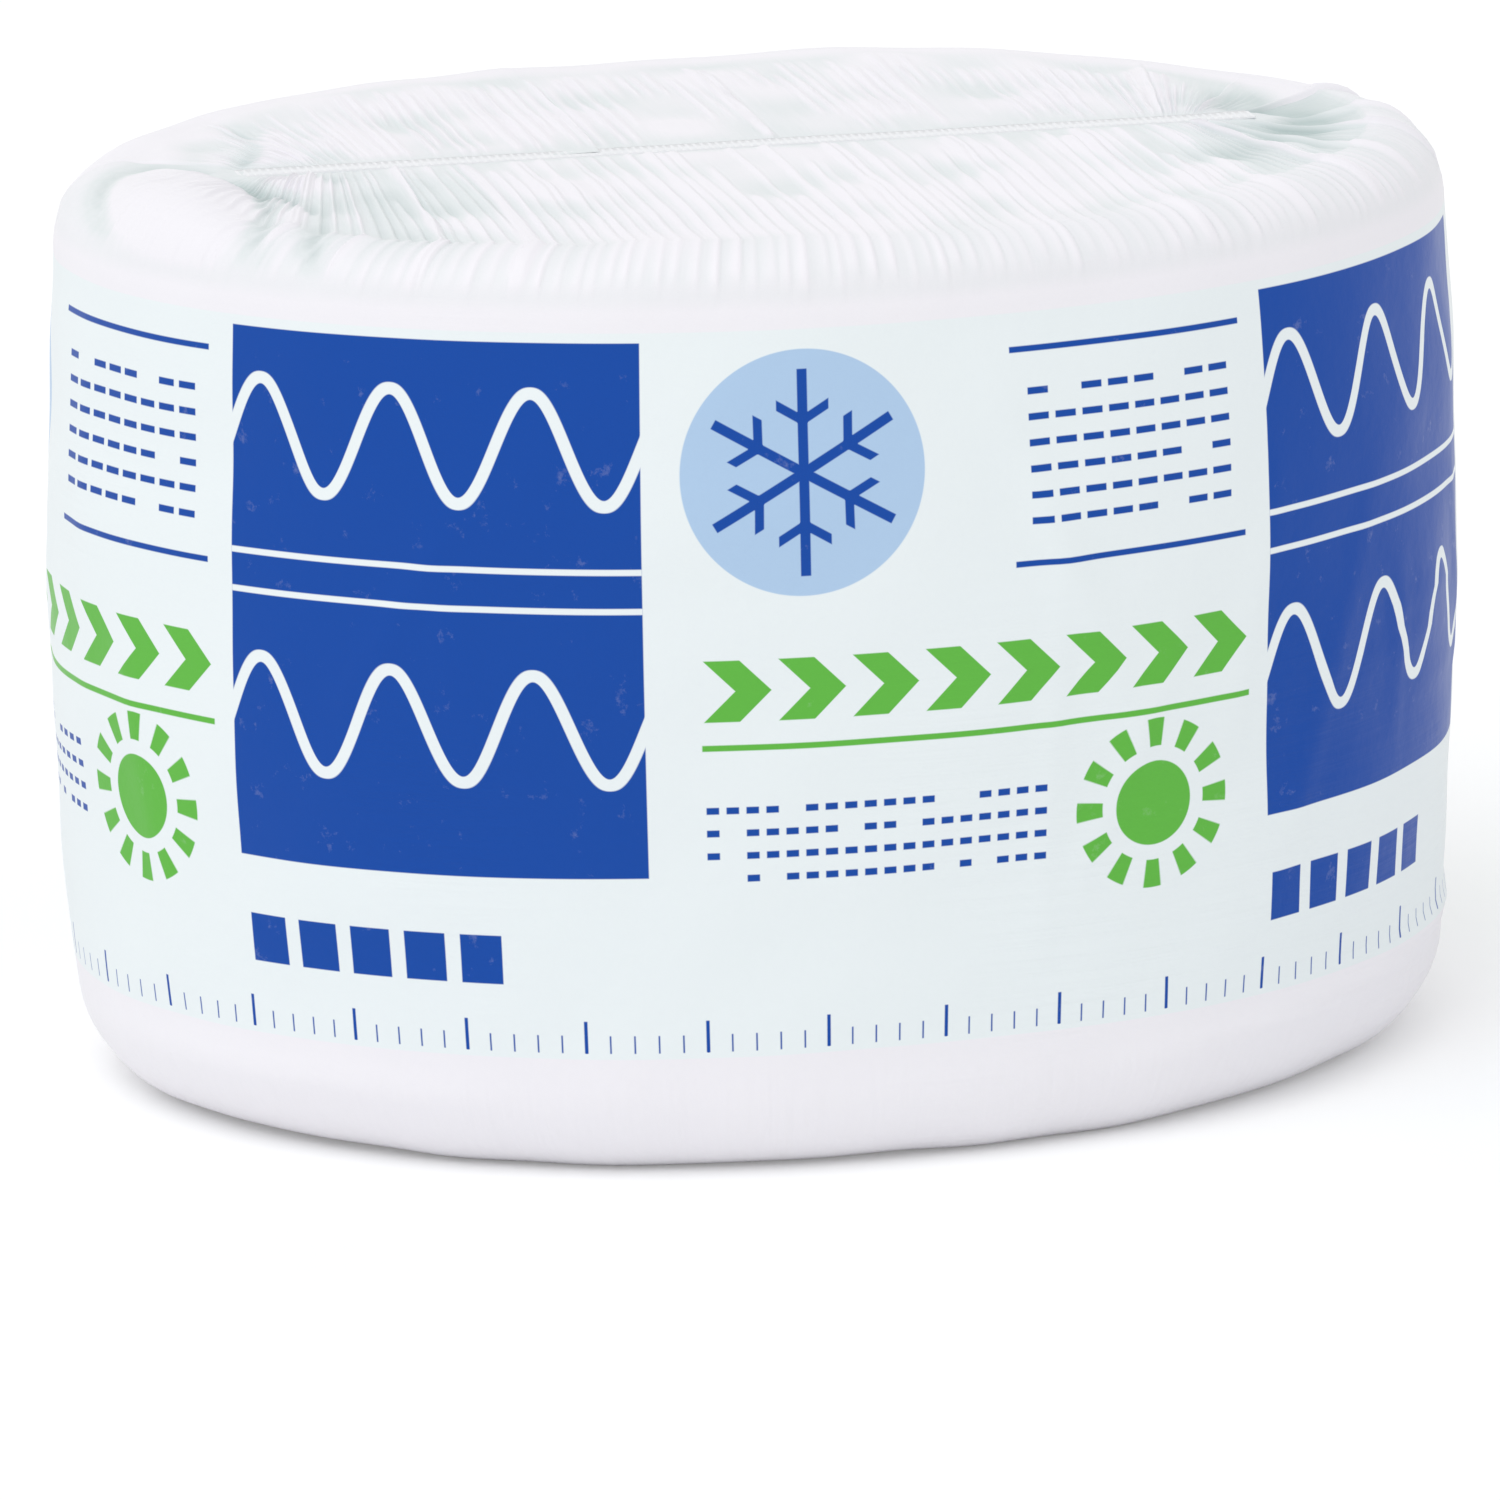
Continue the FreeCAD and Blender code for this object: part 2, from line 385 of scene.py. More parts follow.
# Each kind of swell has a height, its longest and shortest wave, and the number of waves.
SLOW_SWELL = (0.0014, 0.42, 0.16, 9)
QUICK_SWELL = (0.0004, 0.10, 0.05, 12)
RUFFLE = (0.0007, 0.11, 0.045, 12)
RUFFLE_STARTS = 0.02
RUFFLE_FADE = 0.04
LAP_STEP = 0.0004
LAP_EASE = 1.6 * LAP_WIDTH
FULL_PLEATS_FROM = 0.11    # pleats have their full height where strands are longer than this
LEAST_PLEATS = 0.12
RIM_SHARE = 8
END_DEPTH = 0.2    # about how far it is from a rim to its seal
HAIR = 1e-6
BEHIND = 0.2
PILLOW_STARTS = 0.010
PILLOW_FADE = 0.02
MOUTH_FADE = (0.0075, 0.0115)
GATHERED_FROM = (0.006, 0.055)
GATHER_FADE = 0.012
SHELF_STARTS = 0.0105
SHELF_STEP = 0.0008
SHELF_FADE = 0.003

def relief(rows, girths, points):
    """Height of the film over the smooth surface, the part that is folds, and where it is gathered."""
    height, _, upward, share = (rows[:, k][:, None] for k in range(1, 5))
    girth = np.broadcast_to(girths[None, :], (len(rows), len(girths)))
    across = np.broadcast_to(share * END_DEPTH, girth.shape)
    along = np.broadcast_to(height - BELLY, girth.shape)
    rng = np.random.default_rng(SEED)
    wool = swell(rng, girth, along + across, *SLOW_SWELL)
    wool += swell(rng, girth, along + across, *QUICK_SWELL)
    tension = tight_creases(rng, girth, along)
    lap = LAP_STEP * np.clip(1 - girth / LAP_EASE, 0, 1)
    on_top = upward > sin(shoulder_lean) + HAIR
    folds = np.zeros(girth.shape)
    gather = np.zeros(girth.shape)
    if on_top.any():
        turned = np.arcsin(np.clip(upward, -1, 1)) - shoulder_lean
        strand = np.abs(PRESS * shoulder_middle * np.sin(angle_at(girth)))
        past_shoulder = SHOULDER_RADIUS * turned + share * strand
        top_half = PRESS * shoulder_middle + SHOULDER_RADIUS * pi / 2
        fans = np.clip(strand / FULL_PLEATS_FROM, LEAST_PLEATS, 1)
        over_rim = PLEAT_ON_RIM + (1 - PLEAT_ON_RIM) * np.clip(share * RIM_SHARE, 0, 1)
        folds += pleats(rng, girth, past_shoulder, top_half) * fans * over_rim
        ruffle = swell(rng, girth, across, *RUFFLE)
        folds += ruffle * stretch(past_shoulder, RUFFLE_STARTS, FAR, RUFFLE_FADE)
        for ear in EARS:
            folds += dog_ear(girth, share, past_shoulder, *ear)
        folds += pillow(points) * stretch(past_shoulder, PILLOW_STARTS, FAR, PILLOW_FADE)
        folds += SHELF_STEP * stretch(past_shoulder, SHELF_STARTS, FAR, SHELF_FADE)
        folds *= np.clip((from_seal(points) - MOUTH_FADE[0]) / MOUTH_FADE[1], 0, 1)
        behind = np.sin(angle_at(girth)) > BEHIND
        gather_first = np.where(behind, GATHERED_FROM[1], GATHERED_FROM[0])
        gather = np.clip((past_shoulder - gather_first) / GATHER_FADE, 0, 1)
    total = wool * (1 - share) + tension + lap + folds
    return total, folds, gather

# %% [markdown]
# ## Building the web
# Only the top needs columns a millimetre apart, to carry its pleats. So the wall has one column for
# every four of the top, and where they meet, each wall face takes in the four short edges above it.
# There is then no gap and no loose point between the two.

# %% The web's points and faces
WALL_COLUMNS = 400
SPLIT = 4
FACING_DOWN = -0.999
UNDER_RELIEF = 0.5

def web_points(rows, columns):
    """Points, fold depths, gathers and distances round the web, for one net of rows and columns."""
    girths = np.linspace(0, WEB_WIDTH, columns + 1)
    points, facing = lay_web(rows, girths)
    rise, folds, gather = relief(rows, girths, points)
    below = rows[:, 3][:, None] < FACING_DOWN
    rise = np.where(below, -np.abs(rise) * UNDER_RELIEF, rise)
    points = points + rise[:, :, None] * facing
    points[:, :, 2] = np.maximum(points[:, :, 2], 0)
    return points.reshape(-1, 3), folds.reshape(-1), gather.reshape(-1), girths

def net_faces(first, rows, columns):
    """Four-sided faces of a net whose points are numbered row by row from first."""
    wide = columns + 1
    corner = first + np.arange(rows - 1)[:, None] * wide + np.arange(columns)[None, :]
    return np.stack([corner, corner + 1, corner + wide + 1, corner + wide], axis=-1).reshape(-1, 4)

def joining_faces(lower, upper):
    """Faces from the last wide row, whose first point is lower, to the first close row."""
    faces = []
    for column in range(WALL_COLUMNS):
        above = [upper + SPLIT * column + step for step in range(SPLIT, -1, -1)]
        faces.append([lower + column, lower + column + 1, *above])
    return faces

wide_points, wide_folds, wide_gather, wide_girths = web_points(wide_rows, WALL_COLUMNS)
close_points, close_folds, close_gather, close_girths = web_points(close_rows, WALL_COLUMNS * SPLIT)
web = np.vstack([wide_points, close_points])
last_wide_row = (len(wide_rows) - 1) * (WALL_COLUMNS + 1)
faces = net_faces(0, len(wide_rows), WALL_COLUMNS).tolist()
faces += joining_faces(last_wide_row, len(wide_points))
faces += net_faces(len(wide_points), len(close_rows), WALL_COLUMNS * SPLIT).tolist()
print(f"{len(web)} points and {len(faces)} faces in the film")

# %% [markdown]
# Each point also has a place on the flat web, which becomes the film's own UV map. Across the web it
# is the distance round the sleeve. Up the web it is the distance along a strand, counted from the
# belly line, so that a printed line stays level all the way round.

# %% Places on the flat web
WEB_LENGTH = 0.87

def up_web(rows, girths):
    """Distance up the web from the belly line, for each row and column."""
    upward, share = rows[:, 3][:, None], rows[:, 4][:, None]
    strand = np.abs(PRESS * shoulder_middle * np.sin(angle_at(girths)))[None, :]
    lean = np.arcsin(np.clip(upward, -1, 1))
    on_shoulder = BARREL_RADIUS * shoulder_lean + SHOULDER_RADIUS * (lean - shoulder_lean)
    on_foot = -BARREL_RADIUS * foot_lean + FOOT_RADIUS * (lean + foot_lean)
    along = np.where(lean > shoulder_lean, on_shoulder, BARREL_RADIUS * lean)
    along = np.where(lean < -foot_lean, on_foot, along)
    return along + np.sign(upward) * share * strand

def web_places(rows, girths):
    """UV places, from 0 to 1 across and up the flat web."""
    up = up_web(rows, girths)
    across = np.broadcast_to(girths[None, :], up.shape)
    return np.stack([across / WEB_WIDTH, 0.5 + up / WEB_LENGTH], axis=-1).reshape(-1, 2)

places = np.vstack([web_places(wide_rows, wide_girths), web_places(close_rows, close_girths)])
# The fold depths also set the painted shade of valleys and hollows in the film's material.
notes = {
    "fold_depth": 1000 * np.concatenate([wide_folds, close_folds]),
    "gathered": np.concatenate([wide_gather, close_gather]),
}
print("web used, from 0 to 1:", places.min(axis=0).round(3), places.max(axis=0).round(3))

# %% The film as a mesh
def new_piece(name, mesh):
    """An object at the origin that shows a mesh."""
    piece = bpy.data.objects.new(name, mesh)
    bpy.context.scene.collection.objects.link(piece)
    return piece

film_mesh = bpy.data.meshes.new("film_sleeve")
film_mesh.from_pydata(web.tolist(), [], faces)
film_mesh.shade_smooth()
corners = np.empty(len(film_mesh.loops), dtype=np.int32)
film_mesh.loops.foreach_get("vertex_index", corners)
flat_web = film_mesh.uv_layers.new(name="flat_web")
flat_web.uv.foreach_set("vector", places[corners].astype(np.float32).ravel())
for note, values in notes.items():
    layer = film_mesh.attributes.new(note, "FLOAT", "POINT")
    layer.data.foreach_set("value", values.astype(np.float32))
film = new_piece("film_sleeve", film_mesh)
film_area = sum(face.area for face in film_mesh.polygons)
print(f"film area {film_area:.3f} m2")

# %% [markdown]
# ## A short way to write node maths
# Materials and Geometry Nodes are both trees of nodes, and most of the nodes are arithmetic. A small
# class wraps one socket and gives it Python's operators, so that `1 - mask * 0.3` adds its Math nodes.
# Any other node comes from one method that takes its type, its settings and its inputs.

# %% Node helpers
class Value:
    """A number, vector or colour that comes out of a node's socket."""

    def __init__(self, tree, socket):
        self.tree = tree
        self.socket = socket

    def math(self, operation, *others, clamp=False):
        settings = {"operation": operation, "use_clamp": clamp}
        inputs = dict(enumerate((self, *others)))
        return self.tree.node("ShaderNodeMath", settings, inputs)

    def __add__(self, other):
        return self.math("ADD", other)

    def __sub__(self, other):
        return self.math("SUBTRACT", other)

    def __mul__(self, other):
        return self.math("MULTIPLY", other)

    def __truediv__(self, other):
        return self.math("DIVIDE", other)

    def __mod__(self, other):
        return self.math("FLOORED_MODULO", other)

    def __rsub__(self, other):
        return self.tree.node("ShaderNodeMath", {"operation": "SUBTRACT"}, {0: other, 1: self})

    def __neg__(self):
        return self * -1

    def __abs__(self):
        return self.math("ABSOLUTE")

    __radd__ = __add__
    __rmul__ = __mul__

    def capped(self):
        """The value, kept between 0 and 1."""
        return self.math("ADD", 0, clamp=True)

class Tree:
    """A node tree that nodes are added to."""

    def __init__(self, node_tree):
        self.node_tree = node_tree
        node_tree.nodes.clear()

    def node(self, kind, settings=None, inputs=None, output=0):
        """Adds a node, sets it up, feeds its sockets, and returns one of its outputs, if it has any."""
        node = self.node_tree.nodes.new(kind)
        for name, value in (settings or {}).items():
            setattr(node, name, value)
        for socket, value in (inputs or {}).items():
            self.feed(node.inputs[socket], value)
        return Value(self, node.outputs[output]) if node.outputs else None

    def feed(self, socket, value):
        """Links a Value to a socket, or sets a plain number or colour on it."""
        if isinstance(value, Value):
            self.node_tree.links.new(value.socket, socket)
        else:
            socket.default_value = value

    def blend(self, share, first, second):
        """One colour turning into another."""
        node = self.node_tree.nodes.new("ShaderNodeMix")
        node.data_type = "RGBA"
        for name, value in (("Factor_Float", share), ("A_Color", first), ("B_Color", second)):
            self.feed(next(s for s in node.inputs if s.identifier == name), value)
        return Value(self, next(s for s in node.outputs if s.identifier == "Result_Color"))

    def noise(self, vector, scale, detail=2.0, roughness=0.5):
        """Cloudy noise from 0 to 1."""
        inputs = {"Vector": vector, "Scale": scale, "Detail": detail, "Roughness": roughness}
        return self.node("ShaderNodeTexNoise", {"noise_dimensions": "3D"}, inputs)

    def vector(self, x, y, z=0.0):
        return self.node("ShaderNodeCombineXYZ", None, {"X": x, "Y": y, "Z": z})

    def parts(self, vector):
        """The x, y and z of a vector."""
        node = self.node_tree.nodes.new("ShaderNodeSeparateXYZ")
        self.feed(node.inputs[0], vector)
        return [Value(self, socket) for socket in node.outputs]

def ink(red, green, blue):
    """A printed colour, given as it looks on a screen from 0 to 255, in the linear light of shaders."""
    screen = [channel / 255 for channel in (red, green, blue)]
    linear = [c / 12.92 if c <= 0.04045 else ((c + 0.055) / 1.055) ** 2.4 for c in screen]
    return (*linear, 1.0)

# %% [markdown]
# ## The print
# The film is printed before it is wrapped. The print repeats every 450 mm across the web, and the lap
# cuts through it wherever the web's edges fall. Drawn on the flat web's own coordinates, in metres, it
# sticks to the film over every crease.
#
# The design is a plain one of its own: a blue field with two waving lines, like the ones that stand for
# insulation on a drawing, a frost star, a sun, a row of chevrons, dashes, squares and measuring ticks.
# Each shape is a mask from 0 to 1 with a soft edge.

# %% Shapes that can be printed
EDGE = 0.0005
REPEAT = 0.450

def above(value, limit):
    """1 where a value is over a limit."""
    return ((value - limit) / EDGE).capped()

def between(value, low, high):
    return above(value, low) * above(-value, -high)

def bar(x, z, left, right, low, high):
    return between(x, left, right) * between(z, low, high)

def polar(x, z, middle):
    """Distance and angle from a point."""
    right = x - middle[0]
    up = z - middle[1]
    distance = (right * right + up * up).math("SQRT")
    return distance, up.math("ARCTAN2", right)

def together(masks):
    """1 where any of the masks is."""
    return sum(masks).capped()

def waving_line(x, z, level, height, pitch, line):
    """A line that swings up and down as it runs, and is equally thick all along."""
    wave = 2 * pi / pitch
    offset = abs(z - level - height * (x * wave).math("SINE"))
    slope = height * wave * (x * wave).math("COSINE")
    steepness = (1 + slope * slope).math("SQRT")
    return above(-(offset / steepness), -line / 2)

RAYS = 12
RAY_EDGE = 4

def sun(x, z, middle, size):
    """A disc with rays."""
    distance, angle = polar(x, z, middle)
    disc = above(-distance, -0.5 * size)
    rays = ((angle * RAYS).math("COSINE") * RAY_EDGE).capped() * between(distance, 0.66 * size, size)
    return together([disc, rays])

def frost_star(x, z, middle, size):
    """A star of six arms, each with one pair of twigs. Its parts are shares of its size."""
    distance, angle = polar(x, z, middle)
    folded = (angle % (pi / 3)) - pi / 6
    out = distance * folded.math("COSINE")
    aside = abs(distance * folded.math("SINE"))
    arm = above(-aside, -0.055 * size) * above(-out, -size)
    twig_line = abs(out - 0.50 * size - aside * 0.6) * 0.86
    twig = above(-twig_line, -0.05 * size) * above(-aside, -0.26 * size)
    return together([arm, twig])

def chevrons(x, z, level, half_height, pitch):
    """A row of arrowheads that all point the same way."""
    inside = above(-abs(z - level), -half_height)
    phase = (x + abs(z - level)) % pitch
    return inside * between(phase, 0.12 * pitch, 0.62 * pitch)

def ticks(x, z, foot_level, pitch, line, height):
    """A row of marks like those of a tape measure."""
    phase = (x + pitch / 2) % pitch - pitch / 2
    return above(-abs(phase), -line / 2) * between(z, foot_level, foot_level + height)

DASH_GAP = 0.0012
DASH_LINE = (0.0022, 0.0056)
LEFT_OUT = 0.16

def dashes(tree, x, z, pitch_x, pitch_z):
    """Rows of short dashes with some left out."""
    column = (x / pitch_x).math("FLOOR")
    row = (z / pitch_z).math("FLOOR")
    place = tree.vector(column, row)
    chance = tree.node("ShaderNodeTexWhiteNoise", {"noise_dimensions": "2D"}, {0: place})
    dash = between(x % pitch_x, DASH_GAP, pitch_x - DASH_GAP) * between(z % pitch_z, *DASH_LINE)
    return dash * above(chance, LEFT_OUT)

# %% [markdown]
# The shapes are laid over each other in the order a press would lay its inks: the pale ground first,
# then green, then blue, with the white parts left open. All sizes are in metres: across, from the left
# edge of the design, and up, from the floor. A box is its left, right, low and high.

# %% The printed design
PRINT_START = girth_at(radians(214.5))
GROUND = ink(239, 246, 248)
BLUE = ink(2, 72, 166)
SKY = ink(176, 205, 236)
GREEN = ink(98, 186, 68)
MARGIN = ink(245, 243, 248)

GROUND_BAND = (0.052, 0.351)
FIELD = (0.000, 0.178, 0.128, 0.347)
WAVE_LEVELS = (0.304, 0.190)
WAVE = (0.0225, 0.178 / 3, 0.0054)
FIELD_RULES = ((0, 0.178, 0.2375, 0.2405), (0, 0.178, 0.2535, 0.2565))
STAR = ((0.243, 0.293), 0.042)
STAR_DISC = 0.050
RULES = ((0.330, 0.438, 0.3345, 0.3375), (0.330, 0.438, 0.2475, 0.2505))
DASH_BLOCKS = (
    ((0.0120, 0.0105), (0.3360, 0.4320, 0.2625, 0.3255)),
    ((0.0080, 0.0095), (0.200, 0.344, 0.1235, 0.1615)),
)
SQUARE_PITCH = 0.024
SQUARE = (0.003, 0.021)
SQUARE_ROW = (0.000, 0.120, 0.083, 0.104)
# The foot, pitch, line and height of the short ticks and of the long ones.
TICKS = ((0.0545, 0.010, 0.0012, 0.0080), (0.0545, 0.050, 0.0020, 0.0140))
SUN = ((0.392, 0.143), 0.036)
CHEVRONS = (0.2055, 0.0130, 0.0300)
CHEVRON_RUN = (0.200, 0.440)
GREEN_RULE = (0.200, 0.440, 0.1805, 0.1835)

def printed_web(tree, across, z):
    """The colour of the printed film, and where there is ink, from metres across and up the web."""
    x = (across - PRINT_START) % REPEAT
    ground = between(z, *GROUND_BAND)
    white = [waving_line(x, z, level, *WAVE) for level in WAVE_LEVELS]
    white += [bar(x, z, *box) for box in FIELD_RULES]
    blue = [bar(x, z, *FIELD) * (1 - together(white)), frost_star(x, z, *STAR)]
    blue += [bar(x, z, *box) for box in RULES]
    blue += [dashes(tree, x, z, *pitches) * bar(x, z, *box) for pitches, box in DASH_BLOCKS]
    blue += [between(x % SQUARE_PITCH, *SQUARE) * bar(x, z, *SQUARE_ROW)]
    blue = together(blue + [ticks(x, z, *row) for row in TICKS])
    chevron_row = chevrons(x, z, *CHEVRONS) * between(x, *CHEVRON_RUN)
    green = together([sun(x, z, *SUN), chevron_row, bar(x, z, *GREEN_RULE)])
    sky = above(-polar(x, z, STAR[0])[0], -STAR_DISC)
    colour = tree.blend(ground, MARGIN, GROUND)
    for mask, printed in ((sky, SKY), (green, GREEN), (blue, BLUE)):
        colour = tree.blend(mask, colour, printed)
    return colour, together([green, blue]) * ground

# %% [markdown]
# ## The film's finish
# Polythene film is smooth but never flat. Its gloss comes from a low roughness that drifts a little,
# and its life from crinkles far too small to model. Four bumps do those: fine and coarse clouds,
# streaks along the strands where film is gathered, and level lines where it is slack. The valleys
# between pleats are painted greyer, as painted shade, and the deepest hollows greyer still; elsewhere
# the film drifts a little grey over the wool's shade, and ink is rubbed thin here and there.

# %% The film's material
def finish(tree, colour, roughness, normal, settings):
    """A Principled shader with varying colour, roughness and normal, and fixed settings."""
    shader = tree.node("ShaderNodeBsdfPrincipled", None, settings)
    node = shader.socket.node
    tree.feed(node.inputs["Base Color"], colour)
    tree.feed(node.inputs["Roughness"], roughness)
    tree.feed(node.inputs["Normal"], normal)
    tree.node("ShaderNodeOutputMaterial", None, {"Surface": shader})

def bump(tree, height, distance, strength=1.0, under=None):
    inputs = {"Height": height, "Distance": distance, "Strength": strength}
    if under is not None:
        inputs["Normal"] = under
    return tree.node("ShaderNodeBump", None, inputs)

def new_material(name):
    material = bpy.data.materials.new(name)
    material.use_nodes = True
    return material, Tree(material.node_tree)

FILM_GLOSS = {"IOR": 1.5, "Specular IOR Level": 0.2}
DRIFT_GREY = ink(206, 216, 226)
# Painted shade: the greys of the valleys between pleats and of the deepest hollows.
VALLEY_SHADE_GREY = ink(220, 229, 229)
HOLLOW_SHADE_GREY = ink(186, 201, 200)
# Heights over the floor where film is tucked in under the foot, in metres.
TUCKED_BELOW = 0.050
TUCK_FADE = 0.020
TUCK_STREAKS = 1.6
# Depths of folds, in millimetres, that set how the painted shade of valleys and hollows grows.
RIDGE_DEPTH = 1.5
HOLLOW_FROM = 0.4
HOLLOW_DEPTH = 3

def printed_film():
    """White film with its print, worn and crinkled, with painted shade in the valleys and hollows of
    its folds.
    """
    material, tree = new_material("printed polythene film")
    place = tree.node("ShaderNodeTexCoord", output="Object")
    u, v, _ = tree.parts(tree.node("ShaderNodeUVMap", {"uv_map": "flat_web"}))
    across = u * WEB_WIDTH
    up = (v - 0.5) * WEB_LENGTH + BELLY
    colour, inked = printed_web(tree, across, up)

    scuffs = ((tree.noise(place, 90, 5, 0.7) - 0.62) * 9).capped() * 0.10
    colour = tree.blend(scuffs * inked, colour, MARGIN)
    drift = (tree.noise(place, 7, 3) * 0.10).capped()
    colour = tree.blend(drift * (1 - 0.95 * inked), colour, DRIFT_GREY)

    depth = tree.node("ShaderNodeAttribute", {"attribute_name": "fold_depth"}, output="Fac")
    gathered = tree.node("ShaderNodeAttribute", {"attribute_name": "gathered"}, output="Fac")
    tucked = ((TUCKED_BELOW - up) / TUCK_FADE).capped() * TUCK_STREAKS
    # Painted shade: the valleys between gathered pleats are greyed by their fold depth, streaked along
    # the strands.
    valley_shade = (1 - depth / RIDGE_DEPTH).capped() * gathered
    streak_place = tree.vector(across * 170, up * 9, 0)
    streaks = tree.noise(streak_place, 1.0, 2, 0.5)
    colour = tree.blend(valley_shade * (0.45 + 0.45 * streaks), colour, VALLEY_SHADE_GREY)
    # Painted shade, greyer still, where the folds sink deepest, as in the hollows of the dog ears.
    hollow = ((-depth - HOLLOW_FROM) / HOLLOW_DEPTH).capped() * gathered
    colour = tree.blend(hollow * 0.9, colour, HOLLOW_SHADE_GREY)
    level_lines = tree.noise(tree.vector(across * 6, up * 150), 1.0, 3, 0.6)
    slack = ((tree.noise(place, 4.5, 1) - 0.52) * 9).capped() * (1 - gathered)

    roughness = 0.30 + tree.noise(place, 22, 3) * 0.16 - inked * 0.05
    fine = tree.noise(place, 130, 4, 0.6)
    normal = bump(tree, fine, distance=0.0006, strength=0.3)
    coarse = tree.noise(place, 24, 3, 0.55)
    normal = bump(tree, coarse, distance=0.0030, strength=0.25, under=normal)
    normal = bump(tree, streaks * (gathered + tucked), distance=0.0012, strength=0.35, under=normal)
    normal = bump(tree, level_lines * slack, distance=0.0016, strength=0.5, under=normal)
    finish(tree, colour, roughness, normal, FILM_GLOSS)
    return material

film_finish = printed_film()
film_mesh.materials.append(film_finish)
print(f"{len(film_finish.node_tree.nodes)} nodes in the film's material")

# %% [markdown]
# The seals are the same film without print, two layers melted together, so they are a little glossier
# and slightly yellower where the bar was hot.

# %% The seal's material
def sealed_film():
    """Two layers of white film, melted together."""
    material, tree = new_material("heat sealed film")
    place = tree.node("ShaderNodeTexCoord", output="Object")
    cloud = tree.noise(place, 60, 3)
    colour = tree.blend(cloud * 0.6, ink(244, 244, 248), ink(228, 234, 235))
    roughness = 0.24 + cloud * 0.14
    normal = bump(tree, tree.noise(place, 260, 3, 0.6), distance=0.0006, strength=0.5)
    finish(tree, colour, roughness, normal, FILM_GLOSS)
    return material

seal_finish = sealed_film()

# %% [markdown]
# ## The heat seals
# A jaw with ribs closes each mouth and leaves a narrow crimped strip. The pack stands on one, so only
# the top one is made. It is a thin ribbon with a rib every few millimetres, a rule that suits Geometry
# Nodes: a line is cut to the ribs' pitch, nudged a little so that it isn't ruler straight and swept
# into a ribbon, and one rib is put on each of its points.

# %% A Geometry Nodes tree for a crimped strip
def new_inputs(name, inputs):
    """An empty Geometry Nodes tree with named inputs. Returns it with each input's identifier."""
    group = bpy.data.node_groups.new(name, "GeometryNodeTree")
    tree = Tree(group)
    group.interface.new_socket(name="Geometry", in_out="OUTPUT", socket_type="NodeSocketGeometry")
    identifiers = {}
    for label, value in inputs.items():
        kind = "NodeSocketInt" if isinstance(value, int) else "NodeSocketFloat"
        socket = group.interface.new_socket(name=label, in_out="INPUT", socket_type=kind)
        socket.default_value = value
        identifiers[label] = socket.identifier
    source = group.nodes.new("NodeGroupInput")
    named = {label: Value(tree, source.outputs[label]) for label in inputs}
    return group, tree, named, identifiers

def end_tree(tree, geometry, material):
    """Realizes instances, sets the material and ends the tree."""
    real = tree.node("GeometryNodeRealizeInstances", None, {0: geometry})
    painted = tree.node("GeometryNodeSetMaterial", None, {"Geometry": real, "Material": material})
    tree.node("NodeGroupOutput", None, {0: painted})

def grow_piece(name, grown, chosen):
    """Runs a tree with these inputs on an empty piece, and keeps what it makes as a plain mesh."""
    group, identifiers = grown
    piece = new_piece(name, bpy.data.meshes.new(name))
    modifier = piece.modifiers.new(group.name, "NODES")
    modifier.node_group = group
    for label, value in chosen.items():
        modifier[identifiers[label]] = value
    seen = piece.evaluated_get(bpy.context.evaluated_depsgraph_get())
    made = bpy.data.meshes.new_from_object(seen)
    piece.modifiers.clear()
    piece.data = made
    made.name = name
    return piece

# Shares of the seal's thickness, and the sides of a rib as shares of its pitch, the seal's width and
# the seal's thickness.
RIBBON_SHARE = 0.5
SUNK_SHARE = 0.08
RIB_SHARES = (0.42, 0.8, 0.62)

